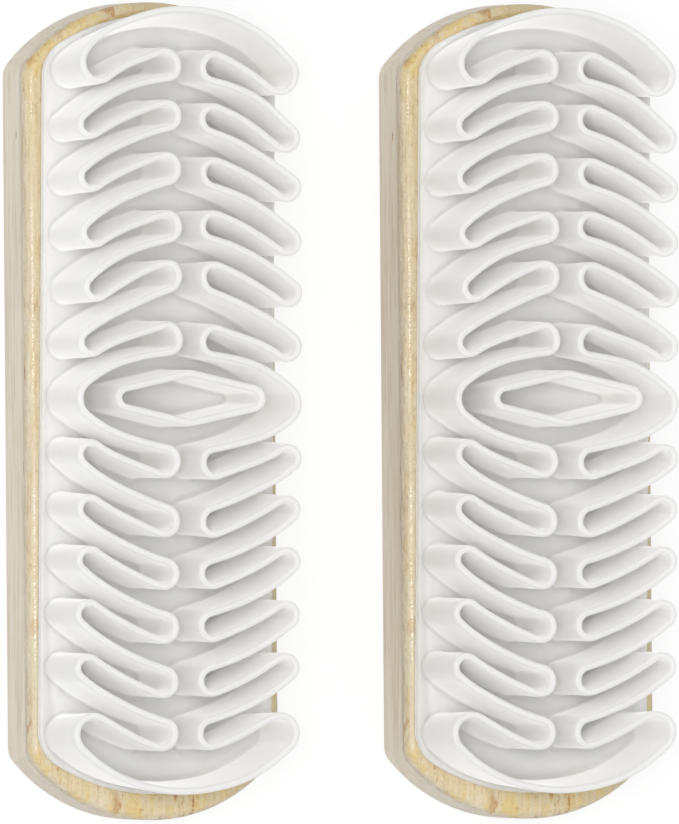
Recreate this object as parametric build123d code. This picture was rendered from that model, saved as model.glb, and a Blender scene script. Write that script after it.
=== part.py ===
from build123d import *

import math
import os
from dataclasses import dataclass

# A pair of hand brushes for suede and nubuck. Each has a pine block with a white moulded
# rubber pad glued to its face. The pad is a thin plate that carries one tall, thin wall,
# folded to and fro into fingers, and a diamond-shaped ring in the middle. The brushes lie
# on their backs side by side, long sides along Y, rubber up. The origin is on the surface
# that they lie on, midway between them. All sizes are in millimetres.

# Wooden block
BLOCK_LENGTH = 141.0
BLOCK_WIDTH = 45.0
BLOCK_THICKNESS = 14.0
BLOCK_END_RADIUS = 28.0       # shallow arc across each end
BLOCK_CORNER_RADIUS = 4.0     # where that arc meets a long side
BLOCK_FACE_ROUND = 1.6        # edge round the face that carries the pad
BLOCK_BACK_ROUND = 0.8        # edge round the back

# Adhesive film between block and pad
GLUE_THICKNESS = 0.25
GLUE_INSET = 1.0              # bare strip inside the pad's edge

# Rubber pad: its plate
SIDE_MARGIN = 2.0             # wood left bare along each side
END_MARGIN = 2.5              # wood left bare past each end, with the pad centred
PLATE_THICKNESS = 1.5
PLATE_HEAD_RADIUS = 26.0      # arc across the +Y end
PLATE_FOOT_RADIUS = 33.0      # arc across the -Y end
PLATE_CORNER_RADIUS = 3.0
PLATE_EDGE_ROUND = 0.4

# How the pad was stuck on: a little askew and towards the +Y end
PAD_SHIFT_X = 0.5
PAD_SHIFT_Y = 2.2
PAD_SKEW = -0.8               # degrees about +Z

# Folded wall
WALL_HEIGHT = 20.0
WALL_THICKNESS = 1.1
WALL_INSET = 1.0              # from the plate's edge to the wall's outer face
SPINE_GAP = 3.7               # clear width of the cavity down the middle
FOLDS = 6                     # channels on each side, from the middle to one end
FIRST_CHANNEL = 10.7          # from the pad's middle to its first channel
HEAD_CROWN_DROP = 1.1432      # how far the crown's tip hangs back from the last channel, +Y end
FOOT_CROWN_DROP = -1.1171     # the same at the -Y end, where the tip lies past that channel
FINGER_DROP = 6.3             # how far a finger's tip hangs back towards the middle
FINGERTIP_RADIUS = 1.95       # these four are to the middle of the wall
CHANNEL_RADIUS = 2.15
MIDDLE_TIP_RADIUS = 3.4
CROWN_TIP_RADIUS = 2.7
TIP_SIDE_BOW = 28.0           # bow of a wall that bends the way its fingertip does
CHANNEL_SIDE_BOW = 22.0       # bow of a wall that bends the way its channel does
WALL_RIM_ROUND = 0.4
WALL_ROOT_ROUND = 0.5

# Diamond ring in the middle of the pad, sizes to the middle of its wall
RING_END_REACH = 11.15        # from its middle to the centre of its end arc
RING_END_RADIUS = 1.7
RING_PEAK_REACH = 4.2         # from its middle to the outside of its blunt corner
RING_PEAK_RADIUS = 2.5

# The pair as it lies
BRUSH_PITCH = 67.9            # between the two blocks' middles
BRUSH_STAGGER = 0.53          # how far the right brush lies back along Y

PLATE_LENGTH = BLOCK_LENGTH - 2 * END_MARGIN
PLATE_WIDTH = BLOCK_WIDTH - 2 * SIDE_MARGIN
PLATE_BOTTOM = BLOCK_THICKNESS + GLUE_THICKNESS
WALL_BOTTOM = PLATE_BOTTOM + PLATE_THICKNESS
HALF_WALL = WALL_THICKNESS / 2
WALL_REACH = PLATE_WIDTH / 2 - WALL_INSET - HALF_WALL
WALL_TOP = WALL_BOTTOM + WALL_HEIGHT
LEFT_TURN, RIGHT_TURN = 1, -1
TOUCH = 0.001                 # what counts as the same place


@dataclass(frozen=True)
class Bend:
    """A circle that the wall's middle line runs round, or an arc of it between two bends."""

    x: float
    y: float
    radius: float
    turn: int

    def away(self, other, shift):
        """The point of this circle, grown by shift, on its line through other's centre."""
        reach = math.dist((self.x, self.y), (other.x, other.y))
        grown = self.radius + self.turn * shift
        step_x = (other.x - self.x) / reach * grown
        step_y = (other.y - self.y) / reach * grown
        return (self.x + step_x, self.y + step_y)

    def arc(self, start, end):
        """The arc of this circle from start to end, the way that it turns."""
        first = math.atan2(start[1] - self.y, start[0] - self.x)
        last = math.atan2(end[1] - self.y, end[0] - self.x)
        sweep = self.turn * ((self.turn * (last - first)) % (2 * math.pi))
        radius = math.dist(start, (self.x, self.y))
        middle = first + sweep / 2
        halfway = (self.x + radius * math.cos(middle), self.y + radius * math.sin(middle))
        return Edge.make_three_point_arc(start, halfway, end)


def end_arc(side):
    """The crown: the wall's run round the +Y (side 1) or the -Y (side -1) end of the plate."""
    plate_radius = PLATE_HEAD_RADIUS if side > 0 else PLATE_FOOT_RADIUS
    centre_y = side * (PLATE_LENGTH / 2 - plate_radius)
    return Bend(0.0, centre_y, plate_radius - WALL_INSET - HALF_WALL, LEFT_TURN)


def crown_tip(side):
    """The bend that joins the crown to the first channel, on the wall's +X half."""
    crown = end_arc(side)
    x = WALL_REACH - CROWN_TIP_RADIUS
    rise = math.sqrt((crown.radius - CROWN_TIP_RADIUS) ** 2 - x ** 2)
    return Bend(x, crown.y + side * rise, CROWN_TIP_RADIUS, LEFT_TURN)


def half_fold(side):
    """The bends of one quarter of the wall on its +X half, from the middle outwards."""
    crown_drop = HEAD_CROWN_DROP if side > 0 else FOOT_CROWN_DROP
    last_channel = side * crown_tip(side).y + crown_drop
    pitch = (last_channel - FIRST_CHANNEL) / (FOLDS - 1)
    channel_x = SPINE_GAP / 2 + HALF_WALL + CHANNEL_RADIUS
    bends = []
    for fold in range(FOLDS):
        channel_y = FIRST_CHANNEL + fold * pitch
        bends.append(Bend(channel_x, side * channel_y, CHANNEL_RADIUS, RIGHT_TURN))
        tip_y = channel_y + pitch / 2 - FINGER_DROP
        bends.append(Bend(WALL_REACH - FINGERTIP_RADIUS, side * tip_y, FINGERTIP_RADIUS, LEFT_TURN))
    bends[-1] = crown_tip(side)
    return bends


def folded_line():
    """Every bend of the closed wall in order, up its +X half and down its -X half."""
    middle = Bend(WALL_REACH - MIDDLE_TIP_RADIUS, 0.0, MIDDLE_TIP_RADIUS, LEFT_TURN)
    rising = half_fold(-1)[::-1] + [middle] + half_fold(1)
    falling = [Bend(-bend.x, bend.y, bend.radius, bend.turn) for bend in rising[::-1]]
    return rising + falling


def link(before, after):
    """The bowed run of wall between two bends, touching both."""
    if before.turn == after.turn:
        return end_arc(1 if before.y > 0 else -1)
    rising = before.x > 0
    to_channel = after.turn == RIGHT_TURN
    head_half = before.y + after.y > 0
    with_tip = (to_channel == rising) == head_half
    turn = LEFT_TURN if with_tip else RIGHT_TURN
    bow = TIP_SIDE_BOW if with_tip else CHANNEL_SIDE_BOW
    from_before = bow - turn * before.turn * before.radius
    from_after = bow - turn * after.turn * after.radius
    span = math.dist((before.x, before.y), (after.x, after.y))
    along = (from_before ** 2 - from_after ** 2 + span ** 2) / (2 * span)
    across = turn * math.sqrt(from_before ** 2 - along ** 2)
    step_x, step_y = (after.x - before.x) / span, (after.y - before.y) / span
    centre_x = before.x + along * step_x - across * step_y
    centre_y = before.y + along * step_y + across * step_x
    return Bend(centre_x, centre_y, bow, turn)


def wall_outline(shift):
    """The closed line that runs beside the folded wall's middle line, shift outside it."""
    bends = folded_line()
    runs = [link(bend, bends[(i + 1) % len(bends)]) for i, bend in enumerate(bends)]
    edges = []
    for i, bend in enumerate(bends):
        run_in, run_out = runs[i - 1], runs[i]
        start = run_in.away(bend, shift)
        end = run_out.away(bend, shift)
        edges.append(bend.arc(start, end))
        following = bends[(i + 1) % len(bends)]
        edges.append(run_out.arc(end, run_out.away(following, shift)))
    return Face(Wire(edges))


def ring_outline(shift):
    """The diamond ring's outline, shift outside its wall's middle line."""
    circles = []
    for side in (-1, 1):
        end = Pos(side * RING_END_REACH, 0) * Edge.make_circle(RING_END_RADIUS + shift)
        peak_y = side * (RING_PEAK_REACH - RING_PEAK_RADIUS)
        circles += [end, Pos(0, peak_y) * Edge.make_circle(RING_PEAK_RADIUS + shift)]
    return make_hull(circles).face()


def paddle_outline(length, width, head_radius, foot_radius, corner_radius):
    """Straight sides and a shallow arc across each end, with rounded corners."""
    head_corner = length / 2 - head_radius + math.sqrt(head_radius ** 2 - width ** 2 / 4)
    foot_corner = foot_radius - length / 2 - math.sqrt(foot_radius ** 2 - width ** 2 / 4)
    right, left = width / 2, -width / 2
    edges = [
        Edge.make_line((right, foot_corner), (right, head_corner)),
        Edge.make_three_point_arc((right, head_corner), (0, length / 2), (left, head_corner)),
        Edge.make_line((left, head_corner), (left, foot_corner)),
        Edge.make_three_point_arc((left, foot_corner), (0, -length / 2), (right, foot_corner)),
    ]
    outline = Face(Wire(edges))
    return outline.fillet_2d(corner_radius, outline.vertices())


def edges_at(solid, height):
    """The solid's edges that lie level at a height."""
    return solid.edges().filter_by_position(Axis.Z, height - TOUCH, height + TOUCH)


def make_block():
    """The wooden block, its back on the surface below it."""
    outline = paddle_outline(
        BLOCK_LENGTH, BLOCK_WIDTH, BLOCK_END_RADIUS, BLOCK_END_RADIUS, BLOCK_CORNER_RADIUS
    )
    block = extrude(outline, BLOCK_THICKNESS, dir=(0, 0, 1))
    block = fillet(edges_at(block, BLOCK_THICKNESS), BLOCK_FACE_ROUND)
    return fillet(edges_at(block, 0), BLOCK_BACK_ROUND)


def plate_outline():
    """The outline of the pad's plate, about the pad's own middle."""
    return paddle_outline(
        PLATE_LENGTH, PLATE_WIDTH, PLATE_HEAD_RADIUS, PLATE_FOOT_RADIUS, PLATE_CORNER_RADIUS
    )


def make_adhesive_film():
    """The film under the pad, held back from the pad's edge."""
    film = offset(plate_outline(), -GLUE_INSET)
    return Pos(0, 0, BLOCK_THICKNESS) * extrude(film, GLUE_THICKNESS, dir=(0, 0, 1))


def make_plate():
    """The pad's plate, its upper edge rounded."""
    plate = Pos(0, 0, PLATE_BOTTOM) * extrude(plate_outline(), PLATE_THICKNESS, dir=(0, 0, 1))
    return fillet(edges_at(plate, WALL_BOTTOM), PLATE_EDGE_ROUND)


def make_rubber_pad():
    """The one moulding: plate, folded wall and diamond ring."""
    pad = make_plate()
    plate_edge = Compound(edges_at(pad, WALL_BOTTOM))
    for outline in (wall_outline, ring_outline):
        footprint = outline(HALF_WALL) - outline(-HALF_WALL)
        pad += Pos(0, 0, WALL_BOTTOM) * extrude(footprint, WALL_HEIGHT, dir=(0, 0, 1))
    at_plate = edges_at(pad, WALL_BOTTOM)
    roots = [edge for edge in at_plate if plate_edge.distance_to(edge.center()) > TOUCH]
    pad = fillet(roots, WALL_ROOT_ROUND)
    return fillet(edges_at(pad, WALL_TOP), WALL_RIM_ROUND)


def place_pad(piece):
    """Turns and shifts a piece of the pad from the block's middle to where it was stuck."""
    return Pos(PAD_SHIFT_X, PAD_SHIFT_Y) * Rot(0, 0, PAD_SKEW) * piece


def main():
    """Writes each piece of both brushes to its own file."""
    os.makedirs("parts", exist_ok=True)
    pieces = {
        "wooden_block": make_block(),
        "adhesive_film": place_pad(make_adhesive_film()),
        "rubber_pad": place_pad(make_rubber_pad()),
    }
    for side, name in ((-1, "left"), (1, "right")):
        place = Pos(side * BRUSH_PITCH / 2, -side * BRUSH_STAGGER / 2)
        for piece_name, piece in pieces.items():
            export_step(place * piece, f"parts/{name}_{piece_name}.step")


main()
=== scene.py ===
"""Dresses a pair of rubber-finned suede brushes: white moulded pads on lacquered pine blocks."""

import logging
import math
from dataclasses import dataclass, field, replace
from enum import Enum
from typing import Any, Iterable

import bmesh
import bpy
import numpy as np
from mathutils import Matrix, Vector


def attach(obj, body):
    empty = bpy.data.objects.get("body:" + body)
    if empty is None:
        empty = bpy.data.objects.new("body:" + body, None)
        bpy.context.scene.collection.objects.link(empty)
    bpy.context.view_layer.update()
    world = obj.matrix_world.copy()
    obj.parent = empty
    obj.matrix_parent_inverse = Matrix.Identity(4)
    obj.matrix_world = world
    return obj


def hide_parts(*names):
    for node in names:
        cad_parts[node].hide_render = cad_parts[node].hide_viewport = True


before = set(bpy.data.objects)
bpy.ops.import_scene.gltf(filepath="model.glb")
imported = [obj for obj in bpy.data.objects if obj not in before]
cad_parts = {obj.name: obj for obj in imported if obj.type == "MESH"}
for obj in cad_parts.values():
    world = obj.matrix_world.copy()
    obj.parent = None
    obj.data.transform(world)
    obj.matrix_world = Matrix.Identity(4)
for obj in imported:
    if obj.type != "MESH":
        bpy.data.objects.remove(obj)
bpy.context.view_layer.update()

LOG = logging.getLogger("suede_brushes")
MM = 0.001

Point = tuple[float, float]
Spot = tuple[float, float, float]
Colour = tuple[float, float, float, float]


class Side(Enum):
    """Which brush of the pair, by the sign of its place along X."""

    LEFT = -1
    RIGHT = 1

    @property
    def body(self) -> str:
        """The name of the CAD body that this brush is."""
        return f"{self.name.lower()}_brush"

    def node(self, piece: str) -> str:
        """The name of one of this brush's CAD nodes."""
        return f"{self.name.lower()}_{piece}"


class Turn(Enum):
    """Which way a bend goes, seen from above, with the wall followed anticlockwise."""

    LEFT = 1
    RIGHT = -1


# ---------------------------------------------------------------------------------------------
# Shader maths
# ---------------------------------------------------------------------------------------------


class Shade:
    """A socket of a material's node graph that takes part in Python expressions."""

    def __init__(self, graph: "Graph", socket: bpy.types.NodeSocket) -> None:
        """Wraps one output socket of a graph."""
        self.graph = graph
        self.socket = socket

    def _math(self, operation: str, first: Any, second: Any = 0.0) -> "Shade":
        """One Math node on two values."""
        return self.graph.node("ShaderNodeMath", {"operation": operation}, {0: first, 1: second})

    def __add__(self, other: Any) -> "Shade":
        """This value plus another."""
        return self._math("ADD", self, other)

    def __radd__(self, other: Any) -> "Shade":
        """A number plus this value."""
        return self._math("ADD", other, self)

    def __sub__(self, other: Any) -> "Shade":
        """This value less another."""
        return self._math("SUBTRACT", self, other)

    def __rsub__(self, other: Any) -> "Shade":
        """A number less this value."""
        return self._math("SUBTRACT", other, self)

    def __mul__(self, other: Any) -> "Shade":
        """This value times another."""
        return self._math("MULTIPLY", self, other)

    def __rmul__(self, other: Any) -> "Shade":
        """A number times this value."""
        return self._math("MULTIPLY", other, self)

    def power(self, exponent: float) -> "Shade":
        """This value to a power."""
        return self._math("POWER", self, exponent)

    def step(self, low: float, high: float) -> "Shade":
        """A soft step from 0 at low to 1 at high, or the other way where low is above high.

        Args:
            low: The value where the step starts.
            high: The value where it is complete.

        Returns:
            The step, between 0 and 1.
        """
        ends = {"From Min": min(low, high), "From Max": max(low, high)}
        ends |= {"To Min": 0.0, "To Max": 1.0} if low < high else {"To Min": 1.0, "To Max": 0.0}
        style = {"interpolation_type": "SMOOTHSTEP"}
        return self.graph.node("ShaderNodeMapRange", style, {"Value": self, **ends})


class Graph:
    """A material's node graph, built by expressions on its sockets."""

    def __init__(self, tree: bpy.types.NodeTree) -> None:
        """Empties a tree and starts afresh."""
        self.tree = tree
        tree.nodes.clear()

    def node(self, kind: str, settings: dict[str, Any], inputs: dict[Any, Any], out: Any = 0) -> Shade:
        """Adds any node.

        Args:
            kind: The node's type.
            settings: Its properties, which are set first.
            inputs: The value or link of each input, by name or number.
            out: The output that is wanted, by name or number.

        Returns:
            That output, wrapped.
        """
        made = self.tree.nodes.new(kind)
        for name, value in settings.items():
            setattr(made, name, value)
        for key, value in inputs.items():
            if isinstance(value, Shade):
                self.tree.links.new(value.socket, made.inputs[key])
            else:
                made.inputs[key].default_value = value
        return Shade(self, made.outputs[out])

    def mix(self, share: Any, first: Any, second: Any) -> Shade:
        """Mixes two colours.

        Args:
            share: How much of the second colour.
            first: The colour below.
            second: The colour above.

        Returns:
            The mixed colour.
        """
        return self.node("ShaderNodeMix", {"data_type": "RGBA"}, {0: share, 6: first, 7: second}, 2)

    def place(self, centre: Spot, stretch: Spot = (1.0, 1.0, 1.0)) -> Shade:
        """Object coordinates in millimetres about a point, stretched for a pattern.

        Args:
            centre: The point, in millimetres.
            stretch: What each axis is multiplied by, once it is in millimetres.

        Returns:
            The coordinates.
        """
        own = self.node("ShaderNodeTexCoord", {}, {}, "Object")
        scale = tuple(s / MM for s in stretch)
        shift = tuple(-c * s for c, s in zip(centre, stretch))
        return self.node("ShaderNodeMapping", {}, {"Vector": own, "Scale": scale, "Location": shift})

    def span(self, vector: Shade) -> Shade:
        """The length of a vector."""
        return self.node("ShaderNodeVectorMath", {"operation": "LENGTH"}, {0: vector}, "Value")

    def axis(self, vector: Shade, name: str) -> Shade:
        """One component of a vector, by its letter."""
        return self.node("ShaderNodeSeparateXYZ", {}, {0: vector}, name)

    def noise(self, spot: Shade, scale: float, detail: float = 2.0, rough: float = 0.5,
              warp: float = 0.0) -> Shade:
        """Soft noise between 0 and 1.

        Args:
            spot: The coordinates that it is read at.
            scale: How many bumps there are to a unit of them.
            detail: How many finer layers lie over the first.
            rough: How strong each finer layer is against the one before.
            warp: How far the noise is twisted by itself.

        Returns:
            The noise.
        """
        inputs = {"Vector": spot, "Scale": scale, "Detail": detail, "Roughness": rough, "Distortion": warp}
        return self.node("ShaderNodeTexNoise", {}, inputs, "Fac")

    def bump(self, height: Shade, depth: float, strength: float, below: Any = None) -> Shade:
        """A normal from a height.

        Args:
            height: The height, between 0 and 1.
            depth: What a height of 1 measures, in millimetres.
            strength: How much of the relief shows.
            below: The normal of a coarser relief under this one.

        Returns:
            The normal.
        """
        inputs = {"Height": height, "Distance": depth * MM, "Strength": strength}
        if below is not None:
            inputs["Normal"] = below
        return self.node("ShaderNodeBump", {}, inputs)

    def finish(self, surface: dict[str, Any]) -> None:
        """Ends the graph in one principled surface with these inputs."""
        self.end(self.node("ShaderNodeBsdfPrincipled", {}, surface))

    def end(self, surface: Shade, kind: str = "ShaderNodeOutputMaterial") -> None:
        """Links a surface to the output, which is a world's or a material's."""
        output = self.tree.nodes.new(kind)
        self.tree.links.new(surface.socket, output.inputs["Surface"])


def new_material(name: str) -> tuple[bpy.types.Material, Graph]:
    """Starts a material.

    Args:
        name: The material's name.

    Returns:
        The material and its empty graph.
    """
    material = bpy.data.materials.new(name)
    material.use_nodes = True
    return material, Graph(material.node_tree)


def grey(level: float) -> Colour:
    """A neutral colour, already linear."""
    return (level, level, level, 1.0)


def tone(red: int, green: int, blue: int) -> Colour:
    """A pale or middling colour as it shows on a screen, from 0 to 255, made linear."""
    linear = [((channel / 255 + 0.055) / 1.055) ** 2.4 for channel in (red, green, blue)]
    return (*linear, 1.0)


# ---------------------------------------------------------------------------------------------
# Finishes
# ---------------------------------------------------------------------------------------------


@dataclass(frozen=True)
class WhiteRubber:
    """Soft white moulded rubber: satin, a little translucent, greyed by painted shade on its outside and
    rims.

    The painted shade greys it towards the pad's outside, set by its half width and half length, and over
    the rims, between two heights, in millimetres. Its softness is how far light spreads below the skin,
    in metres.
    """

    body: Colour = tone(254, 253, 249)
    cloud: Colour = tone(252, 250, 244)
    # Painted shade: the grey laid on the outside walls and the rims, and where it reaches.
    painted_shade: Colour = tone(222, 221, 218)
    painted_shade_edge: Point = (20.85, 67.3)
    painted_shade_rim: Point = (34.4, 35.5)
    softness: float = 0.005

    def material(self, name: str, centre: Spot) -> bpy.types.Material:
        """The finish for one pad.

        Args:
            name: The material's name.
            centre: The pad's middle on the ground, in millimetres.

        Returns:
            The material.
        """
        material, graph = new_material(name)
        spot = graph.place(centre)
        speckle = graph.noise(spot, 2.6, 2.0, 0.6)
        waves = graph.bump(graph.noise(spot, 0.45, 2.0, 0.4), 0.12, 0.5)
        skin = graph.bump(graph.noise(spot, 5.0, 2.0, 0.6), 0.012, 0.6, waves)
        graph.finish({
            "Base Color": self._colour(graph, spot, speckle),
            "Roughness": 0.46 + speckle * 0.1,
            "Normal": skin,
            "IOR": 1.45,
            "Specular IOR Level": 0.2,
            "Diffuse Roughness": 1.0,
            "Sheen Weight": 0.85,
            "Sheen Roughness": 0.38,
            "Subsurface Weight": 1.0,
            "Subsurface Radius": (self.softness,) * 3,
            "Subsurface Scale": 1.0,
        })
        return material

    def _colour(self, graph: Graph, spot: Shade, speckle: Shade) -> Shade:
        """White with faint clouds, greyed by painted shade along the pad's outside and on the rims.

        Args:
            graph: The material's graph.
            spot: The place about the pad's middle, in millimetres.
            speckle: Fine noise.

        Returns:
            The colour.
        """
        clouds = graph.noise(spot, 0.11, 3.0, 0.55)
        clouded = clouds.step(0.35, 0.7) * 0.6 + speckle.step(0.3, 0.8) * 0.25
        across = graph.axis(spot, "X") * (1 / self.painted_shade_edge[0])
        along = graph.axis(spot, "Y") * (1 / self.painted_shade_edge[1])
        # Painted shade: the pad's outside walls and its rims are greyed, darker than the rest of the
        # rubber.
        outside = (across.power(8.0) + along.power(8.0)).step(0.5, 0.85)
        rim = graph.axis(spot, "Z").step(*self.painted_shade_rim) * 0.8
        white = graph.mix(clouded, self.body, self.cloud)
        return graph.mix(outside + rim - outside * rim, white, self.painted_shade)


@dataclass(frozen=True)
class Blemish:
    """A small dark mark in the wood: its middle about the brush's, its half sizes and how dark it is."""

    middle: Spot
    reach: Spot
    depth: float


@dataclass(frozen=True)
class LacqueredPine:
    """Pale pine, raw on its sides and brushed with an amber lacquer over its rounded edge and face.

    Each pattern, from bands to patches, is given as how often it changes in a millimetre along X, Y
    and Z. The other pairs are where something starts and where it is complete, in millimetres: the
    lacquer's lower edge, its sag towards the head end along Y, the darker top of the rounded edge and
    the thinner coat below it.
    """

    raw: Colour = tone(234, 226, 211)
    raw_band: Colour = tone(221, 209, 189)
    raw_hair: Colour = tone(196, 175, 146)
    amber: Colour = tone(212, 203, 181)
    amber_band: Colour = tone(201, 186, 154)
    amber_hair: Colour = tone(176, 146, 98)
    honey: Colour = tone(209, 186, 128)
    brown: Colour = tone(164, 108, 40)
    bands: Spot = (0.8, 0.022, 0.4)
    fibre: Spot = (2.3, 0.09, 1.0)
    hair: Spot = (4.6, 0.16, 3.0)
    pools: Spot = (0.35, 0.12, 0.35)
    thin: Spot = (0.55, 0.2, 0.55)
    scratches: Spot = (0.9, 0.25, 0.5)
    patches: Spot = (0.2, 0.06, 0.2)
    lacquer_line: Point = (11.0, 12.4)
    sag_along: Point = (50.0, 64.0)
    sag: float = 1.3
    top_edge: Point = (12.9, 14.2)
    low_edge: Point = (14.2, 12.2)
    blemishes: tuple[Blemish, ...] = (
        Blemish((6.8, -67.6, 13.4), (0.26, 1.9, 1.2), 1.0),
        Blemish((6.5, -69.3, 12.9), (0.4, 0.3, 1.0), 1.0),
        Blemish((-7.0, -67.4, 13.4), (0.9, 2.4, 1.2), 0.55),
        Blemish((3.6, -66.4, 13.8), (0.5, 0.9, 1.0), 0.6),
        Blemish((-7.4, 68.9, 12.8), (1.3, 1.1, 1.5), 0.65),
        Blemish((-15.9, 64.2, 12.6), (0.9, 1.6, 1.5), 0.55),
        Blemish((-21.4, 61.3, 13.0), (0.8, 2.2, 1.6), 0.45),
        Blemish((-22.5, 47.8, 8.6), (0.8, 1.0, 0.28), 1.0),
        Blemish((-22.5, 5.5, 6.3), (0.8, 5.2, 0.20), 0.5),
        Blemish((-22.5, 6.8, 12.6), (1.0, 1.5, 0.30), 0.7),
        Blemish((-22.5, -9.6, 11.6), (1.0, 1.4, 0.28), 0.6),
        Blemish((-21.0, 17.9, 13.6), (0.3, 1.4, 0.8), 0.6),
    )

    def material(self, name: str, centre: Spot) -> bpy.types.Material:
        """The finish for one block.

        Args:
            name: The material's name.
            centre: The brush's middle on the ground, in millimetres.

        Returns:
            The material.
        """
        material, graph = new_material(name)
        spot = graph.place(centre)
        fibre = graph.noise(graph.place(centre, self.fibre), 1.0, 4.0, 0.7, 0.4)
        hair = graph.noise(graph.place(centre, self.hair), 1.0, 2.0, 0.6)
        sag = graph.axis(spot, "Y").step(*self.sag_along) * self.sag
        height = graph.axis(spot, "Z") + (graph.noise(spot, 0.25, 2.0) - 0.5) * 1.4 + sag
        lacquer = height.step(*self.lacquer_line)
        grain = graph.noise(graph.place(centre, self.bands), 1.0, 3.0, 0.6, 0.5).step(0.40, 0.64)
        vein = fibre.step(0.50, 0.66)
        bare = graph.mix(grain * 0.7, self.raw, self.raw_band)
        bare = graph.mix(vein * 0.35, bare, self.raw_hair)
        warm = graph.mix(grain * 0.8, self.amber, self.amber_band)
        warm = graph.mix(vein * 0.5, warm, self.amber_hair)
        warm = self._brushed(graph, centre, height, warm)
        patchy = graph.noise(graph.place(centre, self.patches), 1.0, 2.0).step(0.40, 0.58)
        specks = graph.noise(spot, 3.0, 2.0, 0.7).step(0.49, 0.57) * (0.05 + patchy * 0.75)
        relief = graph.bump(fibre * 0.5 + hair * 0.5, 0.06, 0.7)
        ripple = graph.bump(graph.noise(spot, 0.9, 2.0, 0.5) * lacquer, 0.5, 0.9, relief)
        graph.finish({
            "Base Color": self._marked(graph, centre, graph.mix(lacquer, bare, warm)),
            "Roughness": 0.7 - lacquer * 0.2 + hair * 0.12,
            "Coat Weight": lacquer * specks,
            "Coat Roughness": 0.24,
            "Normal": graph.bump(graph.noise(spot, 3.2, 2.0, 0.6) * lacquer, 0.1, 1.0, ripple),
        })
        return material

    def _brushed(self, graph: Graph, centre: Spot, height: Shade, wood: Shade) -> Shade:
        """The lacquered wood, darker honey along the top of its rounded edge, with the lacquer pooled,
        thin or scratched, most of all at the ends.

        Args:
            graph: The material's graph.
            centre: The brush's middle on the ground, in millimetres.
            height: The height above the ground, blurred as the lacquer's line is.
            wood: The colour of the wood under an even coat.

        Returns:
            The colour.
        """
        along = graph.axis(graph.place(centre), "Y")
        ends = (along * along).step(1600.0, 3800.0) * 0.6 + 0.4  # from 40 to 62 mm off the middle
        pool = graph.noise(graph.place(centre, self.pools), 1.0, 3.0, 0.6).step(0.5, 0.6)
        wood = graph.mix((height.step(*self.top_edge) * 0.45 + pool * 0.55) * ends, wood, self.honey)
        thin = graph.noise(graph.place(centre, self.thin), 1.0, 3.0, 0.7).step(0.46, 0.54)
        wood = graph.mix(thin * height.step(*self.low_edge) * 0.55, wood, self.raw_band)
        scratch = graph.noise(graph.place(centre, self.scratches), 1.0, 4.0, 0.75, 0.6).step(0.57, 0.66)
        return graph.mix(scratch * ends * 0.6, wood, self.brown)

    def _marked(self, graph: Graph, centre: Spot, wood: Shade) -> Shade:
        """The wood with its small dark marks, ragged at their edges.

        Args:
            graph: The material's graph.
            centre: The brush's middle on the ground, in millimetres.
            wood: The colour without them.

        Returns:
            The colour.
        """
        ragged = (graph.noise(graph.place(centre), 1.6, 3.0, 0.6) - 0.5) * 1.5
        for mark in self.blemishes:
            middle = tuple(c + m for c, m in zip(centre, mark.middle))
            near = graph.span(graph.place(middle, tuple(1 / reach for reach in mark.reach)))
            wood = graph.mix((near + ragged).step(1.25, 0.3) * mark.depth, wood, self.brown)
        return wood


@dataclass(frozen=True)
class DriedGlue:
    """The clear-drying glue between block and pad, a thin yellowish line."""

    body: Colour = tone(200, 174, 118)
    thin: Colour = tone(214, 194, 146)

    def material(self, name: str, centre: Spot) -> bpy.types.Material:
        """The finish for one film.

        Args:
            name: The material's name.
            centre: The brush's middle on the ground, in millimetres.

        Returns:
            The material.
        """
        material, graph = new_material(name)
        smear = graph.noise(graph.place(centre), 0.5, 3.0, 0.6)
        graph.finish({
            "Base Color": graph.mix(smear.step(0.35, 0.65), self.body, self.thin),
            "Roughness": 0.3 + smear * 0.25,
            "Normal": graph.bump(smear, 0.04, 0.5),
            "Transmission Weight": 0.15,
        })
        return material


# ---------------------------------------------------------------------------------------------
# Plan of the rubber pad, seen from above, in millimetres about the pad's own middle
# ---------------------------------------------------------------------------------------------


@dataclass(frozen=True)
class Bend:
    """A circle that a wall's middle line runs round, or the arc between two such bends."""

    x: float
    y: float
    radius: float
    turn: Turn

    def at(self, angle: float) -> Point:
        """The point on the circle in a direction, in radians."""
        return (self.x + self.radius * math.cos(angle), self.y + self.radius * math.sin(angle))

    def arc(self, start: Point, end: Point, steps: int) -> list[Point]:
        """Evenly spaced points from start up to, not including, end, the way the bend turns.

        Args:
            start: The point where the arc starts.
            end: The point where it ends.
            steps: How many points.

        Returns:
            The points.
        """
        first = math.atan2(start[1] - self.y, start[0] - self.x)
        last = math.atan2(end[1] - self.y, end[0] - self.x)
        way = self.turn.value
        sweep = way * ((way * (last - first)) % (2 * math.pi))
        return [self.at(first + sweep * k / steps) for k in range(steps)]


@dataclass(frozen=True)
class Nudge:
    """A soft pull on the plan round one place, where the moulding has run out of true."""

    x: float
    y: float
    dx: float
    dy: float
    reach_x: float = 7.0
    reach_y: float = 5.6

    def pull(self, points: np.ndarray) -> np.ndarray:
        """How far this nudge moves each point."""
        away = ((points[:, 0] - self.x) / self.reach_x) ** 2 + ((points[:, 1] - self.y) / self.reach_y) ** 2
        return np.exp(-away)[:, None] * np.array([self.dx, self.dy])


def between(start: Point, end: Point, steps: int) -> list[Point]:
    """Evenly spaced points on a straight line, from its start up to, not including, its end."""
    across, along = end[0] - start[0], end[1] - start[1]
    return [(start[0] + across * k / steps, start[1] + along * k / steps) for k in range(steps)]


def outward(points: np.ndarray) -> np.ndarray:
    """How a closed line's outside faces at each point.

    Args:
        points: The line's points, anticlockwise.

    Returns:
        A unit vector for each, to the right of the line.
    """
    ahead = np.roll(points, -1, axis=0) - np.roll(points, 1, axis=0)
    across = np.stack([ahead[:, 1], -ahead[:, 0]], axis=1)
    return across / np.linalg.norm(across, axis=1)[:, None]


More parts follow.
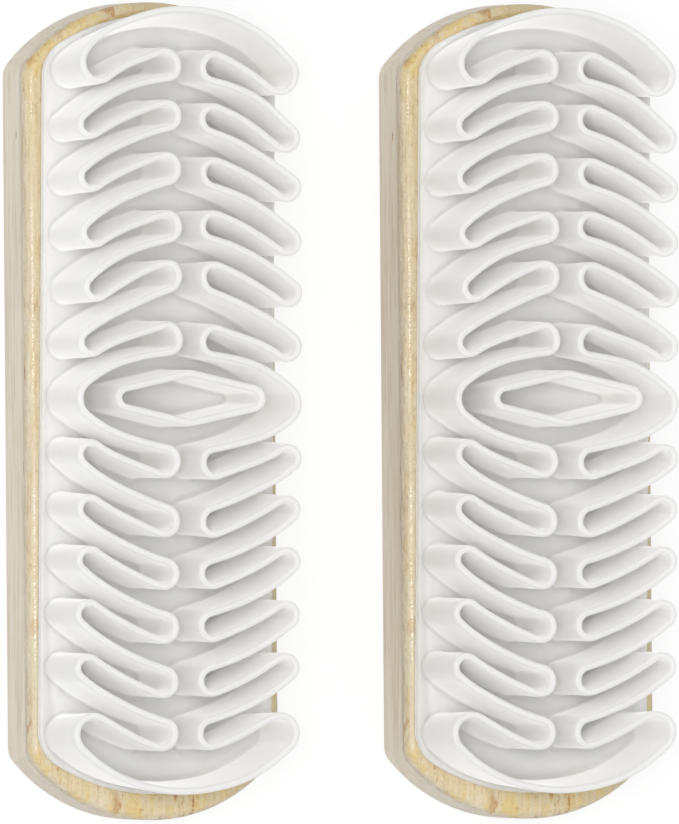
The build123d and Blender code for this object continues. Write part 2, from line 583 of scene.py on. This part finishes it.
def neighbours(values: np.ndarray, width: int) -> np.ndarray:
    """A closed run of values, rolled past each point so many places either way, one row for each."""
    return np.stack([np.roll(values, k, axis=0) for k in range(-width, width + 1)])


def smoothed(values: np.ndarray, width: int) -> np.ndarray:
    """A closed run of values, averaged twice.

    Args:
        values: One value for each point of a closed line.
        width: How many neighbours on either side count.

    Returns:
        The averages.
    """
    for _ in range(2):
        values = sum(neighbours(values, width)) / (2 * width + 1)
    return values


def distances(points: np.ndarray, line: np.ndarray) -> np.ndarray:
    """The distance of each point, by row, from each point of a line, by column."""
    return np.linalg.norm(points[:, None, :] - line[None, :, :], axis=2)


@dataclass
class Fin:
    """One closed thin wall's section: how high and thick it is, and how round at its rim and root."""

    height: float = 20.0
    rim_half: float = 0.6
    root_half: float = 0.68
    rim_round: float = 0.54
    root_round: float = 1.05
    root_ease: float = 0.12
    round_steps: int = 5
    side_rows: tuple[float, ...] = (0.1, 0.3, 0.55, 0.8)

    def section(self, spread: np.ndarray) -> Iterable[tuple[np.ndarray, np.ndarray]]:
        """One side of the wall's section, from the plate up to the middle of the rim.

        Args:
            spread: How far the root's fillet may spread, point by point along the wall.

        Yields:
            How far each row stands outside the wall's side, and its height above the plate.
        """
        level = np.zeros(len(spread))
        quarter = [math.pi / 2 * k / self.round_steps for k in range(self.round_steps + 1)]
        yield spread * (1.0 + self.root_ease), level
        for angle in quarter:
            yield spread * (1 - math.sin(angle)), spread * (1 - math.cos(angle))
        for share in self.side_rows:
            yield level, level + self.height * share
        for angle in quarter:
            drop = self.rim_round * (1 - math.sin(angle))
            yield level - self.rim_round * (1 - math.cos(angle)), level + self.height - drop


@dataclass
class FoldedWall:
    """The wall that is folded to and fro into fingers, as one closed line.

    It runs round fingertips on the outside and channels by the spine, which bowed runs join. The tips
    and channels of each half are listed from the head end to the foot end, each with how far it is out
    of true along X and Y, and the crowns are places on the end walls, each with the same.
    """

    plate_length: float = 136.0
    plate_width: float = 41.0
    head_radius: float = 26.0
    foot_radius: float = 33.0
    inset: float = 1.0
    half_wall: float = 0.55
    spine_gap: float = 4.1
    folds: int = 6
    first_channel: float = 10.7
    head_drop: float = 1.1432
    foot_drop: float = -1.1171
    finger_drop: float = 6.3
    tip_radius: float = 1.95
    channel_radius: float = 2.25
    middle_radius: float = 3.2
    crown_radius: float = 2.85
    tip_bow: float = 32.0
    channel_bow: float = 38.0
    bend_steps: int = 16
    run_steps: int = 11
    crown_steps: int = 60
    left_tips: tuple[Point, ...] = (
        (-0.45, 0.73), (-1.05, 0.07), (-0.82, 0.50), (-0.37, 0.25), (0.30, 0.40), (-0.70, 0.48),
        (-0.87, -0.20), (-0.68, -0.62), (-0.72, -0.60), (-0.77, 0.07), (-0.90, 0.20), (-0.98, 0.25),
        (-0.80, 1.85))
    right_tips: tuple[Point, ...] = (
        (-0.33, -0.80), (-0.12, -1.98), (0.20, -0.90), (0.25, -0.95), (0.43, -0.30), (0.38, 0.00),
        (0.44, -1.00), (0.45, -1.13), (0.32, -0.50), (0.38, 0.00), (0.32, 0.15), (0.30, 0.55),
        (0.35, 2.08))
    left_channels: tuple[Point, ...] = (
        (0.40, -0.68), (0.45, 0.23), (0.35, 0.55), (0.63, -0.37), (0.57, 0.87), (0.93, -0.62),
        (0.50, 0.05), (0.42, -0.85), (0.45, -0.50), (0.45, -0.42), (0.35, -0.37), (0.57, 0.00))
    right_channels: tuple[Point, ...] = (
        (-0.87, -0.92), (-0.95, -0.35), (-0.65, -0.40), (-0.88, 0.00), (-0.62, 0.57), (-0.82, -1.13),
        (-0.45, -0.18), (-0.45, -0.87), (-0.60, -0.35), (-0.60, 0.00), (-0.60, -0.10), (-0.77, 0.25))
    crowns: tuple[tuple[Point, Point], ...] = (
        ((-15.0, 61.5), (-0.90, 0.60)), ((-8.0, 65.3), (-0.30, 0.30)), ((0.0, 67.0), (-0.40, 0.05)),
        ((8.0, 65.3), (-0.50, 0.00)), ((15.0, 61.5), (-0.20, 0.00)), ((-15.0, -63.2), (-1.00, -0.45)),
        ((-8.0, -65.8), (-0.50, -0.50)), ((0.0, -67.0), (-0.60, -0.60)), ((8.0, -65.8), (0.00, -0.35)),
        ((15.0, -63.2), (0.30, -0.50)))
    crown_pull: Point = (6.5, 5.5)

    @property
    def reach(self) -> float:
        """How far the wall's middle line goes to either side."""
        return self.plate_width / 2 - self.inset - self.half_wall

    def crown(self, end: int) -> Bend:
        """The run round one end of the plate.

        Args:
            end: 1 for the +Y end, -1 for the -Y end.

        Returns:
            The run.
        """
        radius = self.head_radius if end > 0 else self.foot_radius
        middle = end * (self.plate_length / 2 - radius)
        return Bend(0.0, middle, radius - self.inset - self.half_wall, Turn.LEFT)

    def crown_tip(self, end: int) -> Bend:
        """The bend between a crown and the channel next to it, on the +X half.

        Args:
            end: 1 for the +Y end, -1 for the -Y end.

        Returns:
            The bend.
        """
        crown = self.crown(end)
        x = self.reach - self.crown_radius
        rise = math.sqrt((crown.radius - self.crown_radius) ** 2 - x ** 2)
        return Bend(x, crown.y + end * rise, self.crown_radius, Turn.LEFT)

    def quarter(self, end: int) -> list[Bend]:
        """The bends of one quarter of the wall, on its +X half.

        Args:
            end: 1 for the +Y end, -1 for the -Y end.

        Returns:
            The bends from the middle outwards.
        """
        drop = self.head_drop if end > 0 else self.foot_drop
        last = end * self.crown_tip(end).y + drop
        pitch = (last - self.first_channel) / (self.folds - 1)
        channel_x = self.spine_gap / 2 + self.half_wall + self.channel_radius
        tip_x = self.reach - self.tip_radius
        bends: list[Bend] = []
        for fold in range(self.folds):
            y = self.first_channel + fold * pitch
            bends.append(Bend(channel_x, end * y, self.channel_radius, Turn.RIGHT))
            tip_y = y + pitch / 2 - self.finger_drop
            bends.append(Bend(tip_x, end * tip_y, self.tip_radius, Turn.LEFT))
        bends[-1] = self.crown_tip(end)
        return bends

    def bends(self) -> list[Bend]:
        """Every bend of the wall.

        Returns:
            The bends in order, up the +X half and down the -X half.
        """
        middle = Bend(self.reach - self.middle_radius, 0.0, self.middle_radius, Turn.LEFT)
        rising = self.quarter(-1)[::-1] + [middle] + self.quarter(1)
        return rising + [Bend(-b.x, b.y, b.radius, b.turn) for b in rising[::-1]]

    def run(self, before: Bend, after: Bend) -> Bend:
        """The bowed run of wall between two bends, which touches both.

        Args:
            before: The bend that it leaves.
            after: The bend that it comes to.

        Returns:
            The run, as a wide bend of its own.
        """
        if before.turn == after.turn:
            return self.crown(1 if before.y > 0 else -1)
        to_channel = after.turn is Turn.RIGHT
        with_tip = (to_channel == (before.x > 0)) == (before.y + after.y > 0)
        turn = Turn.LEFT if with_tip else Turn.RIGHT
        bow = self.tip_bow if with_tip else self.channel_bow
        from_before = bow - turn.value * before.turn.value * before.radius
        from_after = bow - turn.value * after.turn.value * after.radius
        span = math.dist((before.x, before.y), (after.x, after.y))
        along = (from_before ** 2 - from_after ** 2 + span ** 2) / (2 * span)
        across = turn.value * math.sqrt(from_before ** 2 - along ** 2)
        ux, uy = (after.x - before.x) / span, (after.y - before.y) / span
        return Bend(before.x + along * ux - across * uy, before.y + along * uy + across * ux, bow, turn)

    def middle_line(self) -> np.ndarray:
        """The true middle line of the wall, before it is pulled out of true.

        Returns:
            Its closed points, anticlockwise.
        """
        bends = self.bends()
        runs = [self.run(b, bends[(i + 1) % len(bends)]) for i, b in enumerate(bends)]
        points: list[Point] = []
        for i, bend in enumerate(bends):
            run_in, run_out, after = runs[i - 1], runs[i], bends[(i + 1) % len(bends)]
            start = self._meeting(run_in, bend)
            end = self._meeting(run_out, bend)
            points += bend.arc(start, end, self.bend_steps)
            steps = self.crown_steps if bend.turn == after.turn else self.run_steps
            points += run_out.arc(end, self._meeting(run_out, after), steps)
        return np.array(points)

    @staticmethod
    def _meeting(run: Bend, bend: Bend) -> Point:
        """Where a run touches a bend, from outside or, where both turn alike, from inside.

        Args:
            run: The run.
            bend: A bend at one of its ends.

        Returns:
            The point that they share.
        """
        reach = math.dist((run.x, run.y), (bend.x, bend.y))
        sign = 1.0 if run.turn == bend.turn else -1.0
        share = sign * bend.radius / reach
        return (bend.x + (bend.x - run.x) * share, bend.y + (bend.y - run.y) * share)

    def nudges(self) -> list[Nudge]:
        """What pulls the fingertips, the channels and the end walls out of true.

        Returns:
            One nudge for each place.
        """
        bends = self.bends()
        half = len(bends) // 2
        right, left = bends[:half][::-1], bends[half:]
        pulls = [Nudge(x, y, dx, dy, *self.crown_pull) for (x, y), (dx, dy) in self.crowns]
        for row, turn, moves in (
            (left, Turn.LEFT, self.left_tips), (left, Turn.RIGHT, self.left_channels),
            (right, Turn.LEFT, self.right_tips), (right, Turn.RIGHT, self.right_channels),
        ):
            chosen = [bend for bend in row if bend.turn is turn]
            pulls += [Nudge(bend.x, bend.y, dx, dy) for bend, (dx, dy) in zip(chosen, moves)]
        return pulls


@dataclass
class DiamondRing:
    """The diamond-shaped ring in the middle of the pad, as one closed line."""

    end_reach: float = 11.15
    end_radius: float = 1.7
    peak_reach: float = 4.2
    peak_radius: float = 2.5
    bend_steps: int = 14
    side_steps: int = 14

    def middle_line(self) -> np.ndarray:
        """The middle line of the ring.

        Returns:
            Its closed points, anticlockwise.
        """
        peak_y = self.peak_reach - self.peak_radius
        corners = [Bend(self.end_reach, 0.0, self.end_radius, Turn.LEFT),
                   Bend(0.0, peak_y, self.peak_radius, Turn.LEFT),
                   Bend(-self.end_reach, 0.0, self.end_radius, Turn.LEFT),
                   Bend(0.0, -peak_y, self.peak_radius, Turn.LEFT)]
        sides = [self._side(corner, corners[(i + 1) % 4]) for i, corner in enumerate(corners)]
        points: list[Point] = []
        for i, (corner, (start, end)) in enumerate(zip(corners, sides)):
            points += corner.arc(sides[i - 1][1], start, self.bend_steps)
            points += between(start, end, self.side_steps)
        return np.array(points)

    @staticmethod
    def _side(before: Bend, after: Bend) -> tuple[Point, Point]:
        """Both ends of the straight side that touches two corners from outside.

        Args:
            before: The corner that it leaves.
            after: The corner that it comes to.

        Returns:
            Where it starts and ends.
        """
        span = math.dist((before.x, before.y), (after.x, after.y))
        heading = math.atan2(after.y - before.y, after.x - before.x)
        angle = heading - math.acos((before.radius - after.radius) / span)
        return before.at(angle), after.at(angle)


@dataclass
class PlateOutline:
    """The plate's plan: straight sides, a shallow arc across each end, rounded corners."""

    head: float = 66.1
    foot: float = 68.15
    width: float = 41.7
    head_radius: float = 34.0
    foot_radius: float = 34.0
    corner_radius: float = 7.0
    side_steps: int = 60
    corner_steps: int = 16
    end_steps: int = 40

    def line(self, inset: float) -> np.ndarray:
        """The outline, drawn in all round.

        Args:
            inset: How far inside the true edge it runs.

        Returns:
            Its closed points, anticlockwise.
        """
        points: list[Point] = []
        for end in (1, -1):
            first, arc, second = self._bends(end, inset)
            side = first.x + end * first.radius
            stops = [(side, first.y), self._far(arc, first), self._far(arc, second), (-side, second.y)]
            steps = (self.corner_steps, self.end_steps, self.corner_steps)
            for bend, start, stop, count in zip((first, arc, second), stops, stops[1:], steps):
                points += bend.arc(start, stop, count)
            points += between(stops[-1], (-side, self._bends(-end, inset)[0].y), self.side_steps)
        return np.array(points)

    def _bends(self, end: int, inset: float) -> tuple[Bend, Bend, Bend]:
        """The corners of one end and the arc between them.

        Args:
            end: 1 for the head end, -1 for the foot end.
            inset: How far inside the true edge they run.

        Returns:
            The first corner, the arc and the second corner, anticlockwise.
        """
        reach, end_radius = (self.head, self.head_radius) if end > 0 else (self.foot, self.foot_radius)
        radius = self.corner_radius - inset
        x = self.width / 2 - inset - radius
        middle = end * (reach - end_radius)
        y = middle + end * math.sqrt((end_radius - inset - radius) ** 2 - x ** 2)
        arc = Bend(0.0, middle, end_radius - inset, Turn.LEFT)
        return Bend(end * x, y, radius, Turn.LEFT), arc, Bend(-end * x, y, radius, Turn.LEFT)

    @staticmethod
    def _far(arc: Bend, corner: Bend) -> Point:
        """Where a corner meets the end's arc from inside."""
        share = arc.radius / (arc.radius - corner.radius)
        return (arc.x + (corner.x - arc.x) * share, arc.y + (corner.y - arc.y) * share)


# ---------------------------------------------------------------------------------------------
# Modelling
# ---------------------------------------------------------------------------------------------


@dataclass
class OpenRing:
    """A ring of edges round a hole: their numbers, its extent along Y and its height, in metres."""

    edges: list[int]
    spread: float
    height: float


class RingModeller:
    """Grows a mesh in edit mode, one closed ring of vertices from the next."""

    def __init__(self, name: str) -> None:
        """Starts an empty mesh and enters edit mode.

        Args:
            name: The name of the piece and its mesh.
        """
        bpy.ops.object.select_all(action="DESELECT")
        bpy.ops.mesh.primitive_circle_add(vertices=3)
        self.piece = bpy.context.active_object
        self.piece.name = self.piece.data.name = name
        bpy.ops.object.mode_set(mode="EDIT")
        bpy.ops.mesh.select_all(action="SELECT")
        bpy.ops.mesh.delete(type="VERT")

    def start(self, points: np.ndarray) -> None:
        """Adds a circle and lays its vertices on a first ring.

        Args:
            points: The ring's points in metres, one row each.
        """
        bpy.ops.mesh.select_all(action="DESELECT")
        bpy.ops.mesh.primitive_circle_add(vertices=len(points), radius=1.0)
        mesh = bmesh.from_edit_mesh(self.piece.data)
        ring = sorted((v for v in mesh.verts if v.select), key=lambda v: math.atan2(v.co.x, -v.co.y))
        for vert, point in zip(ring, points):
            vert.co = point
        bmesh.update_edit_mesh(self.piece.data)
        self.last = [tuple(v.co) for v in ring]

    def grow(self, points: np.ndarray) -> None:
        """Extrudes the selected ring and lays the new one.

        Args:
            points: The new ring's points in metres, in the last ring's order.
        """
        bpy.ops.mesh.extrude_edges_move()
        mesh = bmesh.from_edit_mesh(self.piece.data)
        order = {place: k for k, place in enumerate(self.last)}
        chosen = [(order[tuple(v.co)], v) for v in mesh.verts if v.select]
        self.last = [(0.0, 0.0, 0.0)] * len(points)
        for k, vert in chosen:
            vert.co = points[k]
            self.last[k] = tuple(vert.co)
        bmesh.update_edit_mesh(self.piece.data)

    def sweep(self, rings: Iterable[np.ndarray]) -> None:
        """Starts on the first ring and grows through the rest.

        Args:
            rings: The points of each ring, in metres.
        """
        rings = iter(rings)
        self.start(next(rings))
        for ring in rings:
            self.grow(ring)

    def open_rings(self) -> list[OpenRing]:
        """Finds what is still open in the mesh.

        Returns:
            Every ring of edges that bounds a hole.
        """
        mesh = bmesh.from_edit_mesh(self.piece.data)
        mesh.edges.index_update()
        waiting = {edge.index: edge for edge in mesh.edges if edge.is_boundary}
        rings: list[OpenRing] = []
        while waiting:
            _, edge = waiting.popitem()
            members, verts, stack = [edge.index], set(edge.verts), list(edge.verts)
            while stack:
                for other in stack.pop().link_edges:
                    if waiting.pop(other.index, None) is not None:
                        members.append(other.index)
                        verts.update(other.verts)
                        stack += list(other.verts)
            along = [vert.co.y for vert in verts]
            rings.append(OpenRing(members, max(along) - min(along), edge.verts[0].co.z))
        return rings

    def cap(self, rings: Iterable[OpenRing]) -> None:
        """Fills the hole that one ring bounds, or the gap between several.

        Args:
            rings: The open rings, all at one level.
        """
        bpy.ops.mesh.select_all(action="DESELECT")
        mesh = bmesh.from_edit_mesh(self.piece.data)
        mesh.edges.ensure_lookup_table()
        for ring in rings:
            for index in ring.edges:
                mesh.edges[index].select_set(True)
        bmesh.update_edit_mesh(self.piece.data)
        bpy.ops.mesh.fill(use_beauty=True)

    def done(self) -> bpy.types.Object:
        """Turns every face outwards, leaves edit mode and shades the mesh smooth.

        Returns:
            The finished piece.
        """
        bpy.ops.mesh.select_all(action="SELECT")
        bpy.ops.mesh.normals_make_consistent(inside=False)
        bpy.ops.mesh.select_all(action="DESELECT")
        bpy.ops.object.mode_set(mode="OBJECT")
        bpy.ops.object.shade_smooth()
        return self.piece


@dataclass
class RubberPad:
    """The moulded pad: a thin plate with the folded wall and the diamond ring, stuck on a little askew.

    Its sizes are in millimetres about its own middle, which lies off the brush's by shift and is turned
    by skew degrees. The rims splay along the pad, and the walls' roots are out of true by only
    base_share of what their rims are.
    """

    centre: Point
    bottom: float
    thickness: float = 1.5
    edge_round: float = 0.4
    under_round: float = 0.15
    round_steps: int = 4
    plate_inset: float = 0.48
    root_clearance: float = 0.34
    draw_passes: int = 3
    draw_width: int = 4
    least_root: float = 0.05
    room_tries: int = 12
    room_share: float = 0.9
    room_width: int = 3
    skew: float = -0.8
    shift: Point = (0.5, 2.2)
    splay: float = 1.004
    base_share: float = 0.5
    wall: FoldedWall = field(default_factory=FoldedWall)
    ring: DiamondRing = field(default_factory=DiamondRing)
    plate: PlateOutline = field(default_factory=PlateOutline)
    wall_fin: Fin = field(default_factory=Fin)
    ring_fin: Fin = field(default_factory=lambda: Fin(rim_half=0.62, root_half=0.7))

    @property
    def top(self) -> float:
        """The height of the plate's top above the ground."""
        return self.bottom + self.thickness

    def build(self, name: str) -> bpy.types.Object:
        """Models the pad as one closed mesh.

        Args:
            name: The piece's name.

        Returns:
            The finished piece.
        """
        modeller = RingModeller(name)
        modeller.sweep(self._plate_rings())
        wall = self.wall.middle_line()
        pull = sum(nudge.pull(wall) for nudge in self.wall.nudges())
        splay = np.array([1.0, self.splay])
        root = self._on_plate(wall + pull * self.base_share)
        modeller.sweep(self._fin_rings(root, (wall + pull) * splay, self.wall_fin))
        ring = self.ring.middle_line()
        modeller.sweep(self._fin_rings(ring, ring * splay, self.ring_fin))
        self._close(modeller)
        return modeller.done()

    def _placed(self, plan: np.ndarray, height: Any) -> np.ndarray:
        """Puts points of the plan where the pad was stuck.

        Args:
            plan: The points about the pad's middle.
            height: Their height above the ground, for all or for each.

        Returns:
            The points in metres.
        """
        angle = math.radians(self.skew)
        x = plan[:, 0] * math.cos(angle) - plan[:, 1] * math.sin(angle) + self.shift[0] + self.centre[0]
        y = plan[:, 0] * math.sin(angle) + plan[:, 1] * math.cos(angle) + self.shift[1] + self.centre[1]
        return np.stack([x, y, np.full(len(x), 1.0) * height], axis=1) * MM

    def _plate_rings(self) -> Iterable[np.ndarray]:
        """The plate's rings, from its flat underside round the edge to its top.

        Yields:
            Each ring's points.
        """
        yield self._placed(self.plate.line(self.under_round), self.bottom)
        yield self._placed(self.plate.line(0.0), self.bottom + self.under_round)
        for k in range(self.round_steps + 1):
            angle = math.pi / 2 * k / self.round_steps
            inset = self.edge_round * (1 - math.cos(angle))
            height = self.top - self.edge_round * (1 - math.sin(angle))
            yield self._placed(self.plate.line(inset), height)
        yield self._placed(self.plate.line(self.plate_inset), self.top)

    def _fin_rings(self, root: np.ndarray, rim: np.ndarray, fin: Fin) -> Iterable[np.ndarray]:
        """The rings of one wall, from the plate outside it, over its rim, to the plate inside.

        Args:
            root: The middle line at the plate.
            rim: The middle line at the rim.
            fin: The wall's section.

        Yields:
            Each ring's points.
        """
        root_out, rim_out = outward(root), outward(rim)
        for way in (1.0, -1.0):
            rows = list(fin.section(self._room(root, way, fin)))
            for out, height in rows if way > 0 else rows[::-1]:
                share = (height / fin.height)[:, None]
                middle = root + (rim - root) * share
                normal = root_out + (rim_out - root_out) * share
                half = fin.root_half + (fin.rim_half - fin.root_half) * share
                yield self._placed(middle + normal * way * (half + out[:, None]), self.top + height)

    def _margin(self) -> np.ndarray:
        """The line where the plate's top meets its rounded edge, finely divided."""
        return replace(self.plate, side_steps=700, end_steps=240, corner_steps=80).line(self.plate_inset)

    def _on_plate(self, root: np.ndarray) -> np.ndarray:
        """Draws the wall's root in where it would reach the plate's rounded edge.

        Args:
            root: The wall's middle line at the plate.

        Returns:
            The line with its outer side at least root_clearance inside the edge.
        """
        edge = self._margin()
        inwards = -outward(edge)
        for _ in range(self.draw_passes):
            out = outward(root)
            side = root + out * self.wall_fin.root_half
            nearest = np.argmin(distances(side, edge), axis=1)
            depth = np.sum((side - edge[nearest]) * inwards[nearest], axis=1)
            short = np.maximum(0.0, self.root_clearance - depth)
            most = np.max(neighbours(short, self.draw_width), axis=0)
            root = root - out * smoothed(most, self.draw_width)[:, None]
        return root

    def _room(self, root: np.ndarray, way: float, fin: Fin) -> np.ndarray:
        """How far the root's fillet may spread on one side before it meets another root or the edge.

        Args:
            root: The wall's middle line at the plate.
            way: 1 outside the wall, -1 inside it.
            fin: The wall's section.

        Returns:
            The fillet's spread, point by point.
        """
        across = outward(root) * way
        full = fin.root_round * (1 + fin.root_ease)
        room = np.full(len(root), 0.04)
        # A spread is clear where no other stretch of root comes nearer, and the spread before it was too.
        for spread in np.linspace(0.1, 1.25 * full, self.room_tries):
            out = fin.root_half + spread
            nearest = np.min(distances(root + across * out, root), axis=1)
            clear = (nearest > out - 0.015) & (room > spread - 0.2)
            room = np.where(clear, spread, room)
        if way > 0:
            side = root + across * fin.root_half
            room = np.minimum(room, np.min(distances(side, self._margin()), axis=1) - self.least_root)
        room = np.clip(room * self.room_share / (1.0 + fin.root_ease), self.least_root, fin.root_round)
        lowest = np.min(neighbours(room, self.room_width), axis=0)
        return np.minimum(smoothed(lowest, self.room_width), room)

    def _close(self, modeller: RingModeller) -> None:
        """Fills the underside, the plate's top round the roots and the floors inside them.

        Args:
            modeller: What holds the mesh with all its rings.
        """
        rings = sorted(modeller.open_rings(), key=lambda ring: -ring.spread)
        middle = (self.bottom + self.thickness / 2) * MM
        under = [ring for ring in rings if ring.height < middle]
        tops = [ring for ring in rings if ring.height > middle]
        for group in (under, tops[:2], tops[2:4], tops[4:]):
            modeller.cap(group)


@dataclass
class SuedeBrush:
    """One brush of the pair: its block, its glue film and its rubber pad, where the frame has them."""

    side: Side

    @property
    def centre(self) -> Point:
        """The middle of the brush's block in plan, in millimetres."""
        low, high = self._extent("wooden_block")
        return ((low[0] + high[0]) / 2, (low[1] + high[1]) / 2)

    @property
    def film_top(self) -> float:
        """The height at which the pad lies on its glue, in millimetres."""
        return self._extent("adhesive_film")[1][2]

    def dress_block(self, finish: LacqueredPine) -> bpy.types.Object:
        """Gives the CAD block its wood."""
        return self._dress("wooden_block", finish.material(self._label("pine"), (*self.centre, 0.0)))

    def dress_film(self, finish: DriedGlue) -> bpy.types.Object:
        """Gives the CAD film its glue."""
        return self._dress("adhesive_film", finish.material(self._label("glue"), (*self.centre, 0.0)))

    def fit_pad(self, pad: bpy.types.Object, finish: WhiteRubber) -> bpy.types.Object:
        """Puts a pad on this brush in place of the CAD pad.

        Args:
            pad: The pad, already in place.
            finish: The rubber.

        Returns:
            The pad.
        """
        x, y = (middle + shift for middle, shift in zip(self.centre, RubberPad.shift))
        pad.data.materials.clear()
        pad.data.materials.append(finish.material(self._label("rubber"), (x, y, 0.0)))
        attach(pad, self.side.body)
        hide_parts(self.side.node("rubber_pad"))
        return pad

    def _label(self, finish: str) -> str:
        """The name of this brush's own material."""
        return f"{finish}_{self.side.name.lower()}"

    def _node(self, piece: str) -> bpy.types.Object:
        """One of this brush's CAD nodes."""
        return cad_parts[self.side.node(piece)]

    def _extent(self, piece: str) -> tuple[Spot, Spot]:
        """How far one CAD node reaches.

        Args:
            piece: The node's name without its side.

        Returns:
            Its low and its high corner, in millimetres.
        """
        axes = [[round(value / MM, 4) for value in axis] for axis in zip(*self._node(piece).bound_box)]
        return tuple(min(axis) for axis in axes), tuple(max(axis) for axis in axes)

    def _dress(self, piece: str, material: bpy.types.Material) -> bpy.types.Object:
        """Puts one material on a CAD node.

        Args:
            piece: The node's name without its side.
            material: The material.

        Returns:
            The node.
        """
        node = self._node(piece)
        node.data.materials.clear()
        node.data.materials.append(material)
        return node


@dataclass
class Studio:
    """Floor, lamp, world and camera, with places in metres and angles in degrees."""

    target: Spot = (0.0, -0.00012, 0.01325)
    tilt: float = 17.0
    roll: float = 0.45
    distance: float = 4.874
    lens: float = 1233.0
    floor_size: float = 30.0
    floor_drop: float = 0.00005
    floor_shown: float = 0.92
    floor_glow: float = 0.82
    floor_bounce: float = 0.62
    world_fill: float = 0.63
    lamp_place: Spot = (-0.70, 0.0, 2.40)
    lamp_aim: Spot = (0.0, 0.0, 0.02)
    lamp_size: float = 0.6
    lamp_power: float = 35.5

    def set_floor(self) -> None:
        """A large pale floor that shows nearly white, keeps the shadow and throws little light back."""
        bpy.ops.object.select_all(action="DESELECT")
        bpy.ops.mesh.primitive_plane_add(size=self.floor_size, location=(0.0, 0.0, -self.floor_drop))
        floor = bpy.context.active_object
        floor.name = "studio_floor"
        material, graph = new_material("studio_floor")
        paper = graph.node("ShaderNodeBsdfDiffuse", {}, {"Color": grey(self.floor_shown)})
        glow = graph.node("ShaderNodeEmission", {}, {"Color": grey(1.0), "Strength": 1.0})
        shown = graph.node("ShaderNodeMixShader", {}, {0: self.floor_glow, 1: paper, 2: glow})
        dim = graph.node("ShaderNodeBsdfDiffuse", {}, {"Color": grey(self.floor_bounce)})
        graph.end(graph.node("ShaderNodeMixShader", {}, {0: self._seen(graph), 1: dim, 2: shown}))
        floor.data.materials.append(material)

    def set_world(self) -> None:
        """An even pale surround, shown white."""
        world = bpy.data.worlds.new("studio_world")
        bpy.context.scene.world = world
        world.use_nodes = True
        graph = Graph(world.node_tree)
        fill = graph.node("ShaderNodeBackground", {}, {"Color": grey(1.0), "Strength": self.world_fill})
        white = graph.node("ShaderNodeBackground", {}, {"Color": grey(1.0), "Strength": 1.0})
        mixed = graph.node("ShaderNodeMixShader", {}, {0: self._seen(graph), 1: fill, 2: white})
        graph.end(mixed, "ShaderNodeOutputWorld")

    @staticmethod
    def _seen(graph: Graph) -> Shade:
        """Tells the camera's rays, also by reflection or through glass, from those that only light.

        Args:
            graph: The graph of a floor or a world.

        Returns:
            1 for the camera's rays and 0 for the others.
        """
        rays = [graph.node("ShaderNodeLightPath", {}, {}, name)
                for name in ("Is Camera Ray", "Is Glossy Ray", "Is Transmission Ray")]
        return (rays[0] + rays[1] + rays[2]).step(0.0, 1.0)

    def set_lamp(self) -> None:
        """One soft square lamp, from about where the photograph was taken."""
        data = bpy.data.lights.new("front_lamp", "AREA")
        data.size, data.energy = self.lamp_size, self.lamp_power
        lamp = bpy.data.objects.new("front_lamp", data)
        bpy.context.scene.collection.objects.link(lamp)
        aim = (Vector(self.lamp_aim) - Vector(self.lamp_place)).to_track_quat("-Z", "Y")
        lamp.matrix_world = Matrix.Translation(self.lamp_place) @ aim.to_matrix().to_4x4()

    def set_camera(self) -> None:
        """The camera nearly overhead, tilted towards the left long sides."""
        tilt, roll = math.radians(self.tilt), math.radians(self.roll)
        back = Vector((-math.sin(tilt), 0.0, math.cos(tilt)))
        right = Vector((math.cos(tilt), 0.0, math.sin(tilt)))
        up = Vector((0.0, 1.0, 0.0))
        turned_right = right * math.cos(roll) - up * math.sin(roll)
        turned_up = up * math.cos(roll) + right * math.sin(roll)
        data = bpy.data.cameras.new("photo_camera")
        data.sensor_width = 36.0
        data.lens = self.lens
        data.clip_start, data.clip_end = 0.1, 60.0
        camera = bpy.data.objects.new("photo_camera", data)
        bpy.context.scene.collection.objects.link(camera)
        place = Vector(self.target) + back * self.distance
        turn = Matrix((turned_right, turned_up, back)).transposed().to_4x4()
        camera.matrix_world = Matrix.Translation(place) @ turn
        bpy.context.scene.camera = camera


def copy_piece(piece: bpy.types.Object, name: str, step: Spot) -> bpy.types.Object:
    """Copies a piece with its own mesh and moves the copy's mesh.

    Args:
        piece: The piece to copy.
        name: The copy's name.
        step: How far it moves, in metres.

    Returns:
        The copy.
    """
    bpy.ops.object.select_all(action="DESELECT")
    piece.select_set(True)
    bpy.context.view_layer.objects.active = piece
    bpy.ops.object.duplicate(linked=False)
    twin = bpy.context.active_object
    twin.name = twin.data.name = name
    bpy.ops.object.mode_set(mode="EDIT")
    bpy.ops.mesh.select_all(action="SELECT")
    bpy.ops.transform.translate(value=step)
    bpy.ops.object.mode_set(mode="OBJECT")
    return twin


def main() -> None:
    """Builds and dresses both brushes, and sets the studio."""
    logging.basicConfig(level=logging.INFO, format="%(message)s")
    bpy.context.scene.view_settings.view_transform = "Standard"
    studio = Studio()
    studio.set_camera()
    left, right = SuedeBrush(Side.LEFT), SuedeBrush(Side.RIGHT)
    pad = RubberPad(left.centre, left.film_top).build("left_moulded_pad")
    step_x, step_y = ((there - here) * MM for here, there in zip(left.centre, right.centre))
    twin = copy_piece(pad, "right_moulded_pad", (step_x, step_y, 0.0))
    for brush, moulding in ((left, pad), (right, twin)):
        for made in (brush.dress_block(LacqueredPine()), brush.dress_film(DriedGlue()),
                     brush.fit_pad(moulding, WhiteRubber())):
            LOG.info("%s: %d faces", made.name, len(made.data.polygons))
    studio.set_floor()
    studio.set_world()
    studio.set_lamp()


if __name__ == "__main__":
    main()
